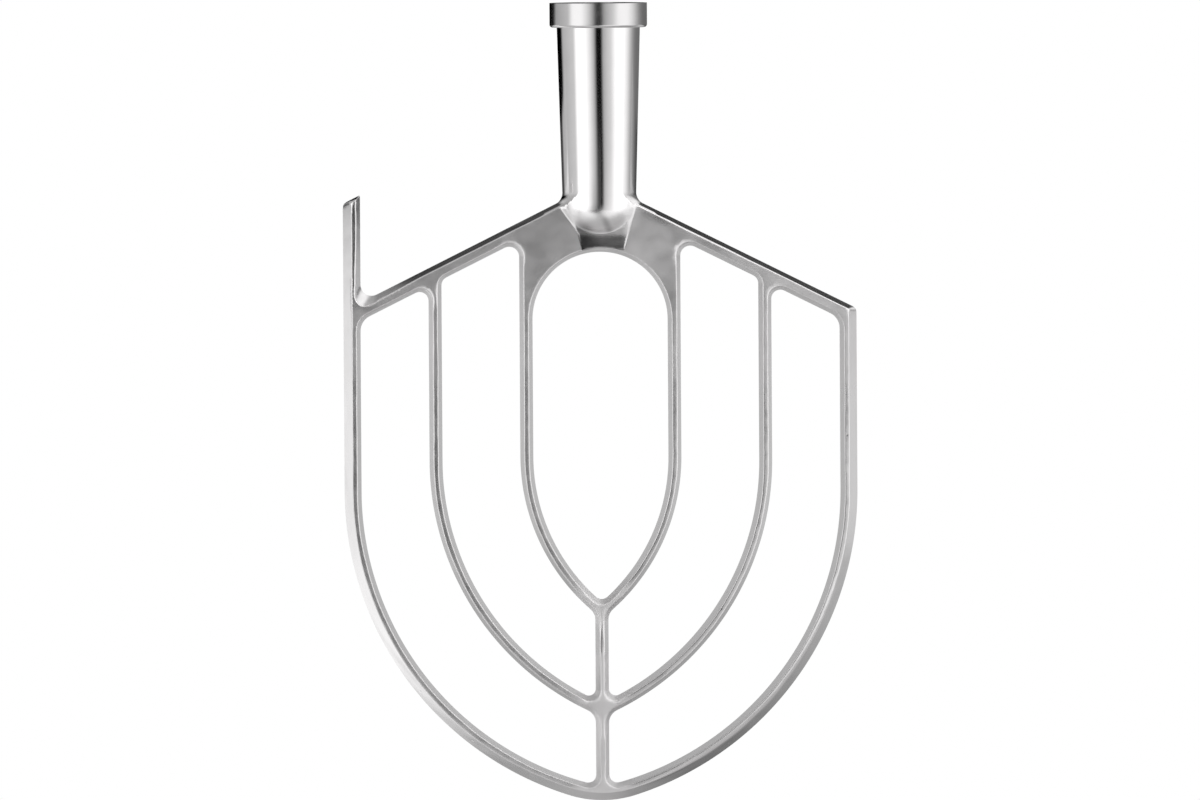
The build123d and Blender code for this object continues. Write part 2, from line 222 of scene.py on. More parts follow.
def cast_aluminium():
    """Burnished casting, polished bright along the shank, its rounded end and a tongue below it."""
    finish = new_finish("cast_aluminium")
    place = finish.node("ShaderNodeTexCoord", {}, {}, output="Object")
    x, y, z = finish.axes(finish.stretched(place, (1 / MILLIMETRE,) * 3))
    _, facing, rising = finish.axes(finish.node("ShaderNodeNewGeometry", {}, {}, output="Normal"))
    mottle = finish.noise(place, scale=160.0, detail=1.0)
    grain = finish.noise(place, scale=700.0)
    lap = finish.noise(finish.stretched(place, (1.0, 1.0, 0.12)), scale=900.0)

    # Where it is polished: the shank, its end, the tongue, and the shoulders' flanks that face upwards
    proud = finish.spread(abs(y), HALF_THICKNESS + 0.05, HALF_THICKNESS + 0.4)
    shank_radius = SHANK_RADIUS + (z + COLLAR_HEIGHT) * math.tan(math.radians(SHANK_DRAFT))
    on_shank = finish.spread((x * x + y * y) ** 0.5 - shank_radius, 2.4, 0.5)
    over_top = z + SHOULDER_PEAK + abs(x) * math.tan(math.radians(SHOULDER_SLOPE))
    on_front = proud * finish.larger(on_shank, finish.spread(z, -80.0, -86.0))
    polish = finish.larger(on_front, on_shank * finish.spread(over_top, -4.3, -1.3))
    tongue_half = 10.4 + (z + 94.4) * 0.25
    tongue = finish.spread(abs(x - 1.4) - tongue_half, 0.4, -0.4)
    tongue = tongue * finish.within(z, -88.0, -92.0, -100.5, -101.5)
    polish = finish.larger(polish, tongue)
    beyond_notch = finish.larger(finish.spread(x, -89.0, -76.0), finish.spread(z, -100.0, -90.0))
    ground = finish.spread(rising, 0.62, 0.8) * finish.spread(z, -150.0, -140.0) * beyond_notch
    polish = finish.larger(polish, ground * finish.spread(x, -30.0, 0.0, 0.72, 0.85))

    # Colour: two greys in patches, a slanting darker line down the shank's end, and painted shade on the
    # tongue's left, under the shank's end
    dark = grey(0.3)
    colour = finish.blend(mottle, grey(0.78), grey(0.84))
    # A slanting darker line down the shank's rounded end
    slanting = abs(x - 1.0 + (z + 86.0) * 0.42)
    dark_slant = finish.spread(slanting, 2.6, 0.0) * finish.within(z, -85.0, -88.5, -94.0, -95.5) * proud
    colour = finish.blend(0.55 * dark_slant, colour, dark)
    # Painted shade: the tongue's left, below the shank's rounded end, is darkened
    colour = finish.blend(0.75 * tongue * finish.spread(x, -1.0, -7.0), colour, dark)

    # Where the polish has worn: the corners beside the shank's end, the end itself, and the tongue's right
    corner = finish.within(abs(x), 8.5, 12.5, 17.5, 21.0) * finish.spread(z, -73.0, -80.0)
    corner = corner * finish.spread(abs(facing), 0.25, 0.5)
    end = finish.within(z, -81.5, -86.0, -93.5, -96.5) * finish.spread(abs(x), 20.0, 15.0)
    worn = 0.2 * end + 0.2 * corner + 0.06 * tongue * finish.spread(x, -6.0, 1.0)

    # Where the satin is duller: the posts but for a streak, the shoulders and the right of the web
    streak = finish.spread(abs(z + 260.5), 9.0, 4.0)
    on_posts = finish.spread(abs(x), 14.0, 8.0) * finish.spread(z, -232.0, -240.0)
    on_shoulders = finish.spread(z, -165.0, -145.0)
    right_web = finish.within(x, 11.0, 16.0, 26.0, 35.0) * finish.within(z, -86.0, -92.0, -110.0, -125.0)
    dull = 0.24 * on_posts * (1.0 - streak) + 0.02 * right_web
    dull = dull + finish.spread(x, -20.0, 20.0, 0.062, 0.115) * on_shoulders

    # Where the satin is finer: the web's right edge, the web under the right crest, and the horn's face
    web_edge = finish.within(x, 18.0, 29.0, 45.0, 60.0) * finish.spread(z, -145.0, -125.0)
    under_crest = finish.spread(over_top, -7.8, -2.3) * finish.within(x, 15.0, 18.5, 24.0, 36.0)
    on_horn = finish.spread(x, -91.0, -96.0) * finish.spread(z, -128.0, -116.0)
    horn_face = on_horn * finish.spread(abs(facing), 0.6, 0.85)
    dull = dull - 0.05 * web_edge - 0.09 * under_crest - 0.13 * horn_face

    # Roughness, and a bump of fine waves with a few pits
    satin = 0.25 + 0.1 * (mottle - 0.5) + dull
    roughness = finish.blend(polish, satin, 0.075 + 0.03 * lap + worn)
    waves = (mottle * 0.6 + grain * 0.015) * (1.05 - polish) + lap * polish * 0.02
    nearest = finish.node("ShaderNodeTexVoronoi", {}, {"Vector": place, "Scale": 150.0}, output="Distance")
    few = finish.spread(finish.noise(place, scale=55.0), 0.55, 0.6) * (1.0 - polish)
    pits = finish.spread(nearest, 0.15, 0.03) * few
    return close_metal(finish, colour, roughness, waves - 2.5 * pits, bump_distance=0.00003)


def turned_steel():
    """Turned and polished steel of the drive bush."""
    finish = new_finish("turned_steel")
    place = finish.node("ShaderNodeTexCoord", {}, {}, output="Object")
    mottle = finish.noise(place, scale=200.0, detail=3.0)
    turning = finish.noise(finish.stretched(place, (0.1, 0.1, 1.0)), scale=3000.0, detail=1.0)
    colour = finish.blend(mottle, grey(0.64), grey(0.7))
    return close_metal(finish, colour, 0.15 + 0.07 * mottle, turning, bump_distance=0.000004)


def turns(*stops):
    """Stops of a ramp from angles to the right of straight ahead."""
    return [(angle / 360 + 0.5, tone) for angle, tone in stops]


def studio_world():
    """White for the camera. Around the metal, a dim room, darkest behind and lit above at both sides."""
    finish = Finish(bpy.data.worlds.new("studio"))
    x, y, z = finish.axes(finish.node("ShaderNodeTexCoord", {}, {}, output="Generated"))
    share = finish.turn_of(x, y * -1.0)
    level = turns(
        (-180, 0.0), (-131, 0.0), (-120, 0.5), (-76, 0.7), (76, 1.3), (90, 0.95), (97, 0.73),
        (102, 0.58), (112, 0.35), (124, 0.22), (138, 0.18), (165, 0.17), (180, 0.0),
    )
    upper = turns(
        (-180, 0.04), (-166, 0.04), (-152, 0.6), (-60, 0.4), (0, 0.35),
        (60, 0.7), (152, 1.1), (165, 0.04), (180, 0.04),
    )
    above = turns((-180, 0.4), (-60, 0.4), (0, 0.4), (60, 0.9), (150, 1.2), (180, 0.4))
    below = grey(0.5)
    light = finish.blend(finish.spread(z, 0.15, 0.32), finish.ramp(share, level), finish.ramp(share, upper))
    light = finish.blend(finish.spread(z, 0.36, 0.52), light, finish.ramp(share, above))
    light = finish.blend(finish.spread(z, -0.2, -0.6), light, below)
    seen = finish.node("ShaderNodeLightPath", {}, {}, output="Is Camera Ray")
    glow = finish.blend(seen, light, WHITE)
    background = finish.node("ShaderNodeBackground", {}, {"Color": glow, "Strength": 1.0})
    finish.node("ShaderNodeOutputWorld", {}, {"Surface": background})
    return finish.owner


class Path:
    """A closed run of lines and arcs in the XZ plane, x and z as one complex number, metal on its left."""

    def __init__(self, corners):
        """Takes (corner, round radius, arc centre or None of the run to the next corner)."""
        runs = []
        for (start, _, centre), (end, _, _) in zip(corners, corners[1:] + corners[:1]):
            runs.append([start, end, centre, self.turn(start, end, centre)])
        self.pieces = []
        rounds = []
        for index, (corner, radius, _) in enumerate(corners):
            rounds.append(self.rounded(runs[index - 1], runs[index], corner, radius) if radius else None)
        for run, corner_round in zip(runs, rounds):
            if corner_round:
                self.pieces.append(corner_round)
            self.pieces.append(run)

    @staticmethod
    def turn(start, end, centre):
        """One for an arc that turns left, minus one for an arc that turns right, nothing for a line."""
        if centre is None:
            return 0
        return 1 if ((end - centre) / (start - centre)).imag > 0 else -1

    @staticmethod
    def heading(run, point):
        """Direction of a run at a point of it."""
        start, end, centre, turn = run
        if centre is None:
            return (end - start) / abs(end - start)
        return (point - centre) / abs(point - centre) * 1j * turn

    def rounded(self, before, after, corner, radius):
        """Rounds the corner between two runs, shortens them, and returns the round."""
        side = 1 if (self.heading(after, corner) / self.heading(before, corner)).imag > 0 else -1
        offset = side * radius
        middle = self.crossing(self.shifted(before, offset), self.shifted(after, offset), corner)
        first, last = self.foot(before, middle), self.foot(after, middle)
        before[1] = first
        after[0] = last
        return [first, last, middle, side]

    def shifted(self, run, offset):
        """A run moved to its left, as a line (point, direction) or a circle (centre, radius)."""
        start, _, centre, turn = run
        if centre is None:
            return start + 1j * offset * self.heading(run, start), self.heading(run, start)
        return centre, abs(start - centre) - turn * offset

    @staticmethod
    def crossing(one, two, close_by):
        """Where two lines (point, direction) or circles (centre, radius) cross nearest to a point."""
        if isinstance(one[1], complex) and isinstance(two[1], complex):
            along = ((two[0] - one[0]) / two[1]).imag / (one[1] / two[1]).imag
            return one[0] + along * one[1]
        if isinstance(two[1], complex):
            one, two = two, one
        if isinstance(one[1], complex):
            place = (two[0] - one[0]) / one[1]
            half = math.sqrt(two[1] ** 2 - place.imag**2)
            found = [one[0] + one[1] * (place.real + half), one[0] + one[1] * (place.real - half)]
        else:
            apart = abs(two[0] - one[0])
            along = (apart**2 + one[1] ** 2 - two[1] ** 2) / (2 * apart)
            across = math.sqrt(one[1] ** 2 - along**2)
            way = (two[0] - one[0]) / apart
            found = [one[0] + way * complex(along, across), one[0] + way * complex(along, -across)]
        return min(found, key=lambda point: abs(point - close_by))

    @staticmethod
    def foot(run, point):
        """The point of a run, or of its line or circle, that is nearest to a point."""
        start, end, centre, _ = run
        if centre is None:
            way = (end - start) / abs(end - start)
            return start + way * ((point - start) / way).real
        return centre + (point - centre) / abs(point - centre) * abs(start - centre)

    @staticmethod
    def sweep(piece):
        """Angle that an arc turns through."""
        start, end, centre, turn = piece
        return (turn * np.angle((end - centre) / (start - centre))) % (2 * math.pi)

    def sampled(self, step):
        """Points along the path and the directions from them into the metal."""
        points, inward = [], []
        for piece in self.pieces:
            start, end, centre, turn = piece
            if centre is None:
                count = max(1, math.ceil(abs(end - start) / step))
                share = np.arange(count) / count
                points.append(start + (end - start) * share)
                inward.append(np.full(count, 1j * self.heading(piece, start)))
            else:
                radius, angle = abs(start - centre), self.sweep(piece)
                count = max(1, math.ceil(radius * angle / min(step, ROUND_STEP * radius)))
                arm = (start - centre) * np.exp(1j * turn * angle * np.arange(count) / count)
                points.append(centre + arm)
                inward.append(-turn * arm / radius)
        return np.concatenate(points), np.concatenate(inward)

    def depth(self, points):
        """Distance of points from the path, positive in the metal."""
        nearest = np.full(points.shape, FAR_AWAY)
        signed = np.zeros(points.shape)
        for piece in self.pieces:
            start, end, centre, turn = piece
            if centre is None:
                length = abs(end - start)
                place = (points - start) / ((end - start) / length)
                gap = np.abs(place - np.clip(place.real, 0, length))
                side = place.imag
            else:
                radius = abs(start - centre)
                arm = points - centre
                reach = np.abs(arm)
                angle = (turn * np.angle(arm / (start - centre))) % (2 * math.pi)
                side = turn * (radius - reach)
                ends = np.minimum(np.abs(points - start), np.abs(points - end))
                gap = np.where(angle <= self.sweep(piece), np.abs(side), ends)
            closer = gap < nearest
            nearest = np.where(closer, gap, nearest)
            signed = np.where(closer, np.sign(side) * gap, signed)
        return signed


def mirrored(points):
    """Points or directions on the other side of the axis."""
    return -np.conj(points)


def fade(value, start, full):
    """Nothing at the start, one at the full value, with soft ends."""
    share = np.clip((value - start) / (full - start), 0, 1)
    return share * share * (3 - 2 * share)


def near(points, place, reach):
    """One at a place, falling to nothing at a reach from it."""
    return 1 - fade(np.abs(points - place), 0, reach)


def softened(points, spots):
    """Softness that spots of (place, reach, softness) add to points."""
    return sum(softness * near(points, place, reach) for place, reach, softness in spots)


def soft_maximum(values, softness):
    """The largest of some values, rounded off where two of them are about as large."""
    most = np.maximum.reduce(values)
    return most + softness * np.log(sum(np.exp((value - most) / softness) for value in values))


def flank_width(draft):
    """How far a flank of that draft runs in between the parting plane and the crest."""
    return HALF_THICKNESS * math.tan(math.radians(draft))


class Casting:
    """The beater's casting: its outline, its gaps, and a field that is zero on its skin."""

    def __init__(self):
        self.lean = math.radians(SHANK_DRAFT)
        gap_flank, rim_flank = flank_width(GAP_DRAFT), flank_width(RIM_DRAFT)
        shoulder_flank = flank_width(SHOULDER_DRAFT)
        bow = BOW_CREST + 2 * gap_flank
        post = POST_CREST / 2 + gap_flank
        inner_in = LOOP_WIDTH / 2
        inner_out = inner_in + bow
        middle_in = inner_out + INNER_GAP_WIDTH
        middle_out = middle_in + bow
        rim_in = middle_out + OUTER_GAP_WIDTH
        rim_out = rim_in + RIM_CREST + rim_flank + gap_flank
        horn_in = rim_out - HORN_CREST - rim_flank - shoulder_flank
        slope = math.radians(SHOULDER_SLOPE)
        shoulder = SHOULDER_CREST + shoulder_flank + gap_flank

        def top(x):
            """Point of the shoulders' top line."""
            return complex(x, -SHOULDER_PEAK - abs(x) * math.tan(slope))

        def under(x):
            """Point of the shoulders' lower line."""
            return top(x) - 1j * shoulder / math.cos(slope)

        def drop(x, span, offset):
            """How far an arc that springs at a span from the axis has come down at x."""
            return math.sqrt((span + offset) ** 2 - (x + offset) ** 2)

        arch = -LOOP_DEPTH - inner_in
        inner_spring = arch - LOOP_STRAIGHT
        fork_meet = inner_spring - drop(0, inner_out, INNER_ARC) - UPPER_POST
        middle_spring = fork_meet + drop(0, middle_in, MIDDLE_ARC)
        foot_meet = middle_spring - drop(0, middle_out, MIDDLE_ARC) - LOWER_POST
        rim_spring = foot_meet + drop(0, rim_in, RIM_ARC)
        rim_tip = complex(0, rim_spring - drop(0, rim_out, RIM_ARC))
        fork, foot = complex(0, fork_meet), complex(0, foot_meet)
        right_corner = top(rim_out)
        horn_corner = top(-rim_out) + 1j * HORN_RISE
        self.notch = top(-horn_in)
        inner_centre = complex(-INNER_ARC, inner_spring)
        middle_centre = complex(-MIDDLE_ARC, middle_spring)
        rim_centre = complex(-RIM_ARC, rim_spring)
        left_rim_centre = complex(RIM_ARC, rim_spring)
        left_inner_centre = complex(INNER_ARC, inner_spring)

        def post_at(span, offset, spring):
            """Where an arc meets the side of the post."""
            return complex(post, spring - drop(post, span, offset))

        self.outer_gap = Path([
            (complex(middle_out, middle_spring), 0, None),
            (under(middle_out), MIDDLE_TOP_ROUND, None),
            (under(rim_in), RIM_TOP_ROUND, None),
            (complex(rim_in, rim_spring), 0, rim_centre),
            (post_at(rim_in, RIM_ARC, rim_spring), FOOT_ROUND, None),
            (post_at(middle_out, MIDDLE_ARC, middle_spring), CROTCH_ROUND, middle_centre),
        ])
        self.inner_gap = Path([
            (complex(inner_out, inner_spring), 0, None),
            (under(inner_out), INNER_TOP_ROUND, None),
            (under(middle_in), MIDDLE_TOP_ROUND, None),
            (complex(middle_in, middle_spring), 0, middle_centre),
            (post_at(middle_in, MIDDLE_ARC, middle_spring), FORK_ROUND, None),
            (post_at(inner_out, INNER_ARC, inner_spring), CROTCH_ROUND, inner_centre),
        ])
        self.loop = Path([
            (complex(0, arch + inner_in), 0, complex(0, arch)),
            (complex(inner_in, arch), 0, None),
            (complex(inner_in, inner_spring), 0, inner_centre),
            (complex(0, inner_spring - drop(0, inner_in, INNER_ARC)), LOOP_TIP_ROUND, left_inner_centre),
            (complex(-inner_in, inner_spring), 0, None),
            (complex(-inner_in, arch), 0, complex(0, arch)),
        ])

        # These edges run on past the beater: only the stretch along the metal counts
        high, low, wide = 60.0, 3 * rim_tip.imag, 2 * rim_out
        self.rim = Path([
            (rim_tip, RIM_TIP_ROUND, rim_centre),
            (complex(rim_out, rim_spring), 0, None),
            (complex(rim_out, high), 0, None),
            (complex(-rim_out, high), 0, None),
            (complex(-rim_out, rim_spring), 0, left_rim_centre),
        ])
        self.shoulders = Path([
            (complex(wide, low), 0, None),
            (top(wide), 0, None),
            (top(0), PEAK_ROUND, None),
            (self.notch, NOTCH_ROUND, None),
            (complex(-horn_in, high), 0, None),
            (complex(-wide, high), 0, None),
            (complex(-wide, low), 0, None),
        ])
        self.horn_top = Path([
            (complex(wide, low), 0, None),
            (complex(wide, high), 0, None),
            (complex(0, top(0).imag + HORN_RISE), 0, None),
            (top(-wide) + 1j * HORN_RISE, 0, None),
            (complex(-wide, low), 0, None),
        ])
        shank_high = complex(SHANK_RADIUS, -COLLAR_HEIGHT)
        shank_side = (shank_high, complex(math.sin(self.lean), math.cos(self.lean)))
        shoulder_top = (top(0), complex(math.cos(slope), -math.sin(slope)))
        right_root = Path.crossing(shank_side, shoulder_top, 0)
        self.outline = Path([
            (rim_tip, RIM_TIP_ROUND, rim_centre),
            (complex(rim_out, rim_spring), 0, None),
            (right_corner, RIM_CORNER_ROUND, None),
            (right_root, ROOT_ROUND, None),
            (shank_high, 0, None),
            (mirrored(shank_high), 0, None),
            (mirrored(right_root), ROOT_ROUND, None),
            (self.notch, NOTCH_ROUND, None),
            (self.notch + 1j * HORN_RISE, HORN_INNER_ROUND, None),
            (horn_corner, HORN_TIP_ROUND, None),
            (complex(-rim_out, rim_spring), 0, left_rim_centre),
        ])

        # Each wall: its path, its draft, and whether it is the path's mirror image
        self.gap_walls = [
            (self.loop, GAP_DRAFT, False),
            (self.inner_gap, GAP_DRAFT, False), (self.inner_gap, GAP_DRAFT, True),
            (self.outer_gap, GAP_DRAFT, False), (self.outer_gap, GAP_DRAFT, True),
        ]
        self.walls = [
            (self.rim, RIM_DRAFT, False), (self.shoulders, SHOULDER_DRAFT, False),
            (self.horn_top, HORN_TOP_DRAFT, False), *self.gap_walls,
        ]

        # Spots where edges are softer, as place, reach and softness: the fork, the foot and the gaps' upper
        # corners, then the rim's upper ends. On the upper post a streak stays crisp
        self.soft_spots = [
            (fork - 2j, 14, 0.2), (foot, 12, 0.2),
            (-35.0 - 101.0j, 9, 0.4), (-70.5 - 118.5j, 8, 0.4),
            (33.0 - 101.0j, 9, 0.3), (71.0 - 118.0j, 7, 0.25),
        ]
        self.soft_rim_spots = [(right_corner, 6, 0.45), (horn_corner, 5, 0.5)]
        self.streak, self.streak_reach = fork + 24.5j, 9

        rng = np.random.default_rng(WAVE_SEED)
        self.wave_length = np.geomspace(WAVE_SHORTEST, WAVE_LONGEST, WAVE_COUNT)
        way = rng.normal(size=(WAVE_COUNT, 3))
        way = way / np.linalg.norm(way, axis=1, keepdims=True)
        self.wave = way * (2 * math.pi / self.wave_length)[:, None]
        self.wave_phase = rng.uniform(0, 2 * math.pi, WAVE_COUNT)

    def widened(self, points):
        """How much wider than elsewhere the shoulders' flank is, towards the notch beside the horn."""
        scoop = NOTCH_SCOOP * near(points, self.notch, NOTCH_SCOOP_REACH)
        return 1 + scoop + NOTCH_FLARE * near(points, self.notch, NOTCH_FLARE_REACH)

    def plan(self, points):
        """What the field needs to know of points in the XZ plane, whatever their depth."""
        x, z = points.real, points.imag
        depths = []
        for path, draft, flipped in self.walls:
            angle = math.radians(draft)
            depth = path.depth(mirrored(points) if flipped else points)
            slope = math.tan(angle)
            if path is self.shoulders:
                slope = slope * self.widened(points)
                along_top = fade(np.abs(depth), 6, 3)
            depths.append((depth, slope, math.cos(angle)))
        on_posts = fade(np.abs(x), 8, 6) * fade(z, -235, -243) * fade(z, -302, -298)
        on_horn = np.clip((x + 90) / -6, 0, 1) * np.clip((z + 122) / 6, 0, 1)
        on_shoulder = fade(x, 21, 29) * fade(x, 75, 45) * along_top
        soft = EDGE_SOFTNESS + softened(points, self.soft_spots)
        soft = soft + POST_SOFTNESS * on_posts * (1 - near(points, self.streak, self.streak_reach))
        soft = soft + HORN_SOFTNESS * on_horn + SHOULDER_SOFTNESS * on_shoulder
        low_right = fade(x, 10, 40) * fade(z, -225, -250)
        soft_rim = RIM_SOFTNESS + softened(points, self.soft_rim_spots) + LOW_RIM_SOFTNESS * low_right
        inside = np.minimum(x - np.interp(z, *TONGUE_LEFT), np.interp(z, *TONGUE_RIGHT) - x)
        tongue = fade(inside, 0, np.interp(z, *TONGUE_BEVEL)) * np.interp(z, *TONGUE_RISE)
        return points, depths, soft, soft_rim, HALF_THICKNESS + tongue, np.interp(z, *ROOT_BLEND)

    def field(self, plan, y):
        """Distance outside the casting's skin, about, at a depth y in front of the parting plane."""
        points, depths, soft, soft_rim, face, root = plan
        rim, *walls = [(y * slope - depth) * cosine for depth, slope, cosine in depths]
        plate = soft_maximum([soft_maximum([*walls, y - face], soft), rim], soft_rim)
        reach = np.hypot(points.real, y) - SHANK_RADIUS
        above = points.imag + COLLAR_HEIGHT
        side = reach * math.cos(self.lean) - above * math.sin(self.lean) + SHANK_END_ROUND
        end = SHANK_END_ROUND - SHANK_DEPTH - points.imag
        shank = np.hypot(np.maximum(side, 0), np.maximum(end, 0)) - SHANK_END_ROUND
        shank = shank + np.minimum(np.maximum(side, end), 0)
        blend = np.hypot(np.maximum(root - plate, 0), np.maximum(root - shank, 0))
        joined = np.maximum(root, np.minimum(plate, shank)) - blend
        wave = 0
        for (kx, ky, kz), phase, length in zip(self.wave, self.wave_phase, self.wave_length):
            wave = wave + length * np.sin(kx * points.real + ky * y + kz * points.imag + phase)
        off_shank = np.clip((shank - 1.0) / 6.0, 0, 1)
        off_parting = np.clip(y / 3.0, 0, 1)
        return joined + WAVE_HEIGHT * off_shank * wave * off_parting

    @staticmethod
    def clear_of_walls(points, walls):
        """How far points lie inside the crests' edges of some walls."""
        depths = []
        for path, draft, flipped in walls:
            depth = path.depth(mirrored(points) if flipped else points)
            depths.append(depth - flank_width(draft))
        return np.minimum.reduce(depths)

    def height(self, plan):
        """Height of the skin in front of the parting plane."""
        low = np.zeros(plan[0].shape)
        high = np.full(plan[0].shape, SHANK_RADIUS + 1)
        for _ in range(SKIN_HALVINGS):
            middle = (low + high) / 2
            inside = self.field(plan, middle) < 0
            low = np.where(inside, middle, low)
            high = np.where(inside, high, middle)
        return (low + high) / 2

    def slopes(self, points, height):
        """Directions straight out of the front skin."""

        def change(way):
            before, after = self.plan(points - way * SLOPE_STEP), self.plan(points + way * SLOPE_STEP)
            return self.field(after, height) - self.field(before, height)

        plan = self.plan(points)
        ahead = self.field(plan, height + SLOPE_STEP) - self.field(plan, height)
        lean = np.stack([change(1), -2 * ahead, change(1j)], axis=1)
        return lean / np.linalg.norm(lean, axis=1, keepdims=True)

    def at_parting(self, points):
        """The field at the parting plane."""
        return self.field(self.plan(points), np.zeros(points.shape))

    def settle(self, points, inward):
        """Moves points at the parting plane along their inward directions onto the skin."""
        moved = np.zeros(points.shape)
        for _ in range(SETTLING_ROUNDS):
            here = self.at_parting(points + moved * inward)
            moved = moved + np.clip(here, -LONGEST_SETTLING, LONGEST_SETTLING)
        return points + moved * inward


def on_shank_top(points, slack):
    """Which points lie on the shank's top edge, between its two ends."""
    return (np.abs(points.imag + COLLAR_HEIGHT) < slack) & (np.abs(points.real) < SHANK_RADIUS - slack)


def rows_of(spacing, low, high):
    """Points of a grid between two corners, each second row set over by half a spacing."""
    rows = []
    for row, z in enumerate(np.arange(low.imag, high.imag, spacing * ROW_SHARE)):
        rows.append(np.arange(low.real + spacing / 2 * (row % 2), high.real, spacing) + 1j * z)
    return np.concatenate(rows)


def plan_points(casting):
    """Edges of the casting in the XZ plane, as closed loops of points, and the points between them."""
    edge_step, column_step = 1.4, 2.4
    wall_shares = (0.22, 0.45, 0.7)
    crest_steps = (-0.24, -0.1, 0.0, 0.1, 0.22, 0.4, 0.7)
    columns = np.radians(np.arange(-54, 54.1, 4.5))
    side_turns = np.radians(np.array([83, 76, 69, 62]))
    paddle_low, paddle_high = -103 - 325j, 103 - 90j
    hub_half, hub_top, hub_end, root_end = 24, -74, -106, -96
    end_half, end_top, end_low = 17, -84, -102
    face_spacing, hub_spacing, end_spacing, scoop_spacing = 1.5, 0.85, 0.42, 0.55
    face_clear, hub_clear, hub_inside, scoop_inside = 1.1, 1.0, 2.6, 0.7
    scoop_half = 10 + 10j
    loops, between = [], []

    def add_rings(points, inward, run):
        for share in wall_shares:
            between.append(points + share * run * inward)
        for past in crest_steps:
            between.append(points + (run + past) * inward)

    for path, draft, flipped in casting.gap_walls:
        points, inward = path.sampled(edge_step)
        points = casting.settle(points, inward)
        if flipped:
            points, inward = mirrored(points), mirrored(inward)
        loops.append(points)
        add_rings(points, inward, flank_width(draft))

    # The outline, whose run along the shank's top gives way to one point for each column of the shank
    points, inward = casting.outline.sampled(edge_step)
    on_top = on_shank_top(points, SAME)
    first, count = np.argmax(on_top), on_top.sum()
    points, inward = np.roll(points, -first)[count:], np.roll(inward, -first)[count:]
    points = casting.settle(points, inward)
    top_turns = np.concatenate([side_turns, columns[::-1], -side_turns[::-1]])
    loops.append(np.concatenate([SHANK_RADIUS * np.sin(top_turns) - 1j * COLLAR_HEIGHT, points]))
    by_shank = (np.abs(points.real) < hub_half) & (points.imag > root_end)
    by_rim = casting.rim.depth(points) < casting.shoulders.depth(points)
    chosen = by_rim & ~by_shank
    add_rings(points[chosen], inward[chosen], flank_width(RIM_DRAFT))
    chosen = ~by_rim & ~by_shank
    add_rings(points[chosen], inward[chosen], flank_width(SHOULDER_DRAFT) * casting.widened(points[chosen]))
    chosen = by_shank & (points.imag < -COLLAR_HEIGHT - 0.1)
    for turn in side_turns:
        between.append(points[chosen] + SHANK_RADIUS * (1 - math.sin(turn)) * inward[chosen])

    # Grids: the flat crests, the hub, the shank's end with the tongue, and the scoop beside the horn
    faces = rows_of(face_spacing, paddle_low, paddle_high)
    faces = faces[casting.clear_of_walls(faces, casting.walls) > face_clear]
    between.append(faces[(np.abs(faces.real) > hub_half) | (faces.imag < hub_end)])
    hub = rows_of(hub_spacing, complex(-hub_half, hub_end), complex(hub_half, hub_top))
    end = rows_of(end_spacing, complex(-end_half, end_low), complex(end_half, end_top))
    off_end = (np.abs(hub.real) > end_half) | (hub.imag > end_top) | (hub.imag < end_low)
    hub = np.concatenate([hub[off_end], end])
    hub = hub[casting.at_parting(hub) < -hub_inside]
    between.append(hub[casting.clear_of_walls(hub, casting.gap_walls) > hub_clear])
    scoop = rows_of(scoop_spacing, casting.notch - scoop_half, casting.notch + scoop_half)
    scoop = scoop[casting.at_parting(scoop) < -scoop_inside]
    between.append(scoop[casting.rim.depth(scoop) > flank_width(RIM_DRAFT)])

    # Columns down the front of the shank, as far as the hub's grid
    for z in np.arange(-COLLAR_HEIGHT - column_step, hub_top + 0.5, -column_step):
        radius = SHANK_RADIUS + (z + COLLAR_HEIGHT) * math.tan(casting.lean)
        between.append(radius * np.sin(columns) + 1j * z)
    return loops, np.concatenate(between)


def laid_out(casting):
    """The front as triangles in the XZ plane, and which points are on the parting line or on top."""
    loops, between = plan_points(casting)
    edges, count = [], 0
    for loop in loops:
        ids = np.arange(len(loop))
        edges += zip((count + ids).tolist(), (count + np.roll(ids, -1)).tolist())
        count += len(loop)
    flat = [Vector((point.real, point.imag)) for point in np.concatenate([*loops, between])]
    laid, _, faces, source, _, _ = delaunay_2d_cdt(flat, edges, [], 0, MERGE)
    points = np.array([complex(*place) for place in laid])
    faces = np.array(faces)
    faces = faces[casting.at_parting(points[faces].mean(axis=1)) < 0]
    used, faces = np.unique(faces, return_inverse=True)
    points = points[used]
    on_top = on_shank_top(points, NEAR)
    parted = np.array([min(source[index], default=count) < count for index in used]) & ~on_top
    return points, faces.reshape(-1, 3), parted, on_top


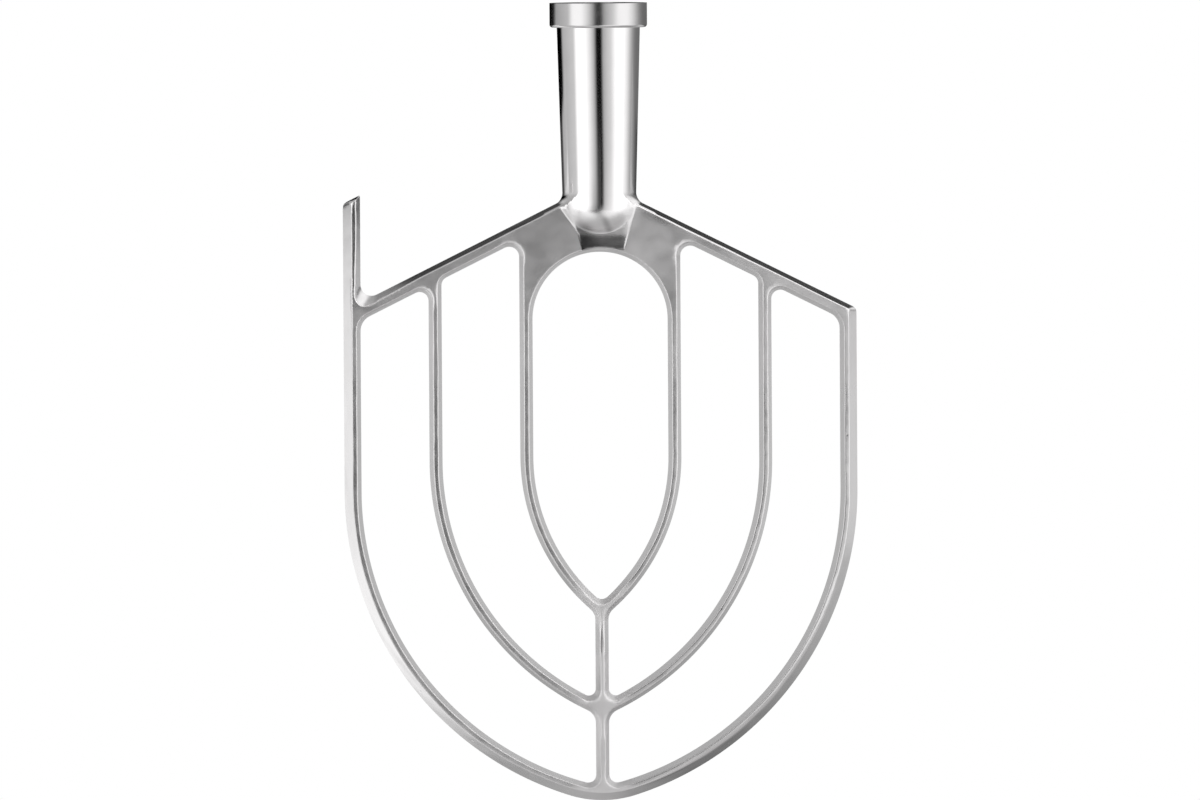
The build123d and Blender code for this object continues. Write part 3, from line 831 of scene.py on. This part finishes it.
def casting_mesh(casting, name):
    """Skin of the casting: the front lifted off its plan, the back its mirror image, the bush's pocket."""
    points, faces, parted, on_top = laid_out(casting)
    height = np.where(parted, 0.0, casting.height(casting.plan(points)))
    lean = casting.slopes(points, height)
    count = len(points)
    to_back = (1, -1, 1)
    front = np.stack([points.real, -height, points.imag], axis=1)
    back_ids = np.where(parted, np.arange(count), count + np.cumsum(~parted) - 1)
    places = np.concatenate([front, (front * to_back)[~parted]])
    back_faces = back_ids[faces][:, ::-1]

    # The pocket: a ledge inwards from the shank's top edge, a wall and a floor
    top_end = complex(SHANK_RADIUS, -COLLAR_HEIGHT)
    at_ends = (np.abs(points - top_end) < NEAR) | (np.abs(points - mirrored(top_end)) < NEAR)
    rim = np.flatnonzero(on_top | at_ends)
    ring = np.unique(np.concatenate([rim, back_ids[rim]]))
    ring = ring[np.argsort(np.arctan2(places[ring, 1], places[ring, 0]))]
    pocket = places[ring] * (1, 1, 0)
    pocket *= SLEEVE_RADIUS / np.linalg.norm(pocket, axis=1, keepdims=True)
    upper = len(places) + np.arange(len(ring))
    lower = upper + len(ring)
    ledge = np.stack([ring, np.roll(ring, -1), np.roll(upper, -1), upper], axis=1)
    wall = np.stack([upper, np.roll(upper, -1), np.roll(lower, -1), lower], axis=1)
    floor = lower[None, :]
    places = np.concatenate([places, pocket - (0, 0, COLLAR_HEIGHT), pocket - (0, 0, BUSH_LENGTH)])

    mesh = bpy.data.meshes.new(name)
    groups = (faces, back_faces, ledge, wall, floor)
    corners = [face for group in groups for face in group.tolist()]
    mesh.from_pydata((places * MILLIMETRE).tolist(), [], corners)
    mesh.shade_smooth()

    # A direction for each corner of each face. Nothing leaves Blender's own, as on the pocket's wall
    upward = (0, 0, 1)
    directions = [
        lean[faces].reshape(-1, 3), (lean * to_back)[faces[:, ::-1]].reshape(-1, 3),
        np.full((ledge.size, 3), upward), np.zeros((wall.size, 3)), np.full((floor.size, 3), upward),
    ]
    mesh.normals_split_custom_set(np.concatenate(directions))
    return mesh


def new_piece(name, mesh, material, replaced):
    """Puts a mesh in the scene as a piece of the beater, in place of its CAD nodes."""
    mesh.materials.append(material)
    piece = bpy.data.objects.new(name, mesh)
    bpy.context.scene.collection.objects.link(piece)
    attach(piece, "root")
    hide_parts(*replaced)


def upright_sheet(half, y, low, high):
    """Corners of an upright sheet across the view."""
    return [(-half, y, low), (half, y, low), (half, y, high), (-half, y, high)]


def level_sheet(half, near_y, far_y, z):
    """Corners of a level sheet."""
    return [(-half, near_y, z), (half, near_y, z), (half, far_y, z), (-half, far_y, z)]


def panel_mesh(name, corners):
    """Puts a sheet in the studio, outside the beater."""
    mesh = bpy.data.meshes.new(name)
    mesh.from_pydata(corners, [], [range(len(corners))])
    made = bpy.data.objects.new(name, mesh)
    bpy.context.scene.collection.objects.link(made)
    return made


def lit_panel(name, corners, light_of):
    """A lit sheet that only the metal sees. Its light fades out where the second value falls to nothing."""
    panel = panel_mesh(name, corners)
    finish = new_finish(name)
    place = finish.node("ShaderNodeTexCoord", {}, {}, output="Object")
    tone, share = light_of(finish, *finish.axes(place))
    glow = finish.node("ShaderNodeEmission", {}, {"Color": tone, "Strength": 1.0})
    clear = finish.node("ShaderNodeBsdfTransparent", {}, {})
    mixed = finish.node("ShaderNodeMixShader", {}, {0: share, 1: clear, 2: glow})
    finish.node("ShaderNodeOutputMaterial", {}, {"Surface": mixed})
    panel.data.materials.append(finish.owner)
    panel.visible_camera = False
    panel.visible_shadow = False


def soft_boxes():
    """Two tall soft boxes in front, with a dark gap between them."""
    ahead, half, low, high = 0.8, 3.2, -0.6, 1.1

    def light(finish, x, _, z):
        upper = turns(
            (-76, 0.7), (-66, 1.4), (-42, 1.4), (-27, 0.94), (-17, 0.56), (-8.0, 0.0),
            (4, 0.0), (11, 0.48), (20, 0.64), (32, 0.8), (48, 1.35), (72, 1.35), (76, 1.3),
        )
        lower = turns(
            (-76, 0.7), (-66, 1.4), (-42, 1.35), (-32, 0.8), (-26, 0.2), (-18, 0.0),
            (-0.5, 0.0), (7.5, 0.8), (20, 1.05), (32, 1.1), (48, 1.35), (72, 1.35), (76, 1.3),
        )
        # The gap lies a little to the right, more so lower down, until it straightens out
        lean = finish.larger(z * -1.13 - 0.0705, 0.02) * finish.spread(z, -0.2, -0.16)
        turn = finish.turn_of(x - lean, ahead)
        downwards = finish.spread(z, -0.13, -0.18)
        tone = finish.blend(downwards, finish.ramp(turn, upper), finish.ramp(turn, lower))
        # A faint glow low in the gap, and the gap closes above the beater's top
        glow = 0.07 * finish.spread(z, -0.108, -0.126) * finish.spread(abs(x - 0.005), 0.09, 0.03)
        tone = finish.blend(glow, tone, grey(1.0))
        tone = finish.larger(tone, 0.4 * finish.spread(z, 0.04, 0.14))
        # A bright band overhead, on the right
        band = finish.blend(finish.spread(x, -0.2, 0.15), grey(0.5), grey(2.5))
        tone = finish.blend(finish.spread(z, 0.4, 0.55), tone, band)
        return tone, finish.within(z, -0.46, -0.32, 0.8, 1.05)

    lit_panel("soft_boxes", upright_sheet(half, -ahead, low, high), light)


def lit_sweep():
    """Lit sheet behind the paddle, below the shoulders, brightest at the left."""
    back, half, low, high = 0.3, 0.8, -1.0, -0.03

    def light(finish, x, _, z):
        across = x / (2 * half) + 0.5
        top = [(0.0, 0.6), (0.3, 0.5), (0.36, 0.07), (0.55, 0.05), (0.66, 0.12), (0.8, 0.3), (1.0, 0.5)]
        upper = [
            (0.0, 1.0), (0.27, 1.05), (0.35, 0.56), (0.45, 0.54), (0.485, 0.47), (0.515, 0.53),
            (0.55, 0.55), (0.65, 0.6), (0.73, 0.74), (1.0, 0.6),
        ]
        middle = [
            (0.0, 1.1), (0.27, 1.12), (0.31, 1.15), (0.36, 0.5), (0.42, 0.4), (0.5, 0.38),
            (0.58, 0.42), (0.65, 0.45), (0.7, 0.45), (0.75, 0.55), (1.0, 0.55),
        ]
        lower = [
            (0.0, 1.25), (0.3, 1.3), (0.344, 0.8), (0.394, 0.33), (0.453, 0.46), (0.5, 0.52),
            (0.547, 0.38), (0.606, 0.14), (0.656, 0.28), (0.7, 0.32), (0.75, 0.43), (1.0, 0.5),
        ]
        tone = finish.ramp(across, upper)
        tone = finish.blend(finish.spread(z, -0.26, -0.31), tone, finish.ramp(across, middle))
        tone = finish.blend(finish.spread(z, -0.36, -0.46), tone, finish.ramp(across, lower))
        tone = finish.blend(finish.spread(z, -0.109, -0.1), tone, finish.ramp(across, top))
        return tone, finish.spread(z, -0.056, -0.066)

    lit_panel("sweep", upright_sheet(half, back, low, high), light)


def lit_table():
    """Lit top of the table in front of the beater, just below it."""
    level, half, near_y, far_y = -0.336, 0.9, -1.0, -0.03

    def light(finish, x, y, _):
        close = [(0.0, 0.85), (0.3, 0.75), (0.5, 0.45), (0.7, 0.5), (1.0, 0.6)]
        forward = turns(
            (-76, 0.8), (-50, 1.2), (-22, 1.2), (-10, 0.6), (-2, 0.5),
            (4, 0.5), (14, 1.05), (50, 1.15), (76, 0.8),
        )
        tone = finish.ramp(x / (2 * half) + 0.5, close)
        away = finish.ramp(finish.turn_of(x, y * -1.0), forward)
        tone = finish.blend(finish.spread(y, -0.12, -0.5), tone, away)
        return tone, finish.within(y, -0.95, -0.6, -0.12, -0.03)

    lit_panel("table", level_sheet(half, near_y, far_y, level), light)


def pale_floor():
    """Floor that the camera sees as plain white, and that the metal doesn't see."""
    level, reach = -0.5, 6.0
    floor = panel_mesh("floor", level_sheet(reach, -reach, reach, level))
    finish = new_finish("floor_white")
    seen = finish.node("ShaderNodeLightPath", {}, {}, output="Is Camera Ray")
    plain = finish.node("ShaderNodeBsdfDiffuse", {}, {"Color": (0.8, 0.8, 0.8, 1.0)})
    white = finish.node("ShaderNodeEmission", {}, {"Color": WHITE, "Strength": 1.0})
    mixed = finish.node("ShaderNodeMixShader", {}, {0: seen, 1: plain, 2: white})
    finish.node("ShaderNodeOutputMaterial", {}, {"Surface": mixed})
    floor.data.materials.append(finish.owner)
    floor.visible_glossy = False


def picture_camera():
    """Camera at the photograph's angle, aimed at the point in the middle of the picture."""
    aim = Vector((IMAGE_WIDTH / 2 - AXIS_COLUMN, 0.0, TOP_ROW - CENTRE_ROW)) * METRES_PER_PIXEL
    turn, rise = math.radians(CAMERA_TURN), math.radians(CAMERA_RISE)
    back = Vector((math.sin(turn) * math.cos(rise), -math.cos(turn) * math.cos(rise), math.sin(rise)))
    data = bpy.data.cameras.new("camera")
    data.sensor_width = SENSOR_WIDTH
    data.lens = SENSOR_WIDTH * CAMERA_DISTANCE / (IMAGE_WIDTH * METRES_PER_PIXEL)
    data.clip_end = 100.0
    camera = bpy.data.objects.new("camera", data)
    camera.location = aim + back * CAMERA_DISTANCE
    level = (-back).to_track_quat("-Z", "Y")
    camera.rotation_euler = (level @ Quaternion((0, 0, 1), math.radians(CAMERA_ROLL))).to_euler()
    bpy.context.scene.collection.objects.link(camera)
    bpy.context.scene.camera = camera


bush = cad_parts["drive_bush"]
bush.data.materials.clear()
bush.data.materials.append(turned_steel())
cast_nodes = [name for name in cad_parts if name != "drive_bush"]
new_piece("casting", casting_mesh(Casting(), "casting"), cast_aluminium(), cast_nodes)

bpy.context.scene.world = studio_world()
bpy.context.scene.view_settings.view_transform = "Standard"
soft_boxes()
lit_sweep()
lit_table()
pale_floor()
picture_camera()
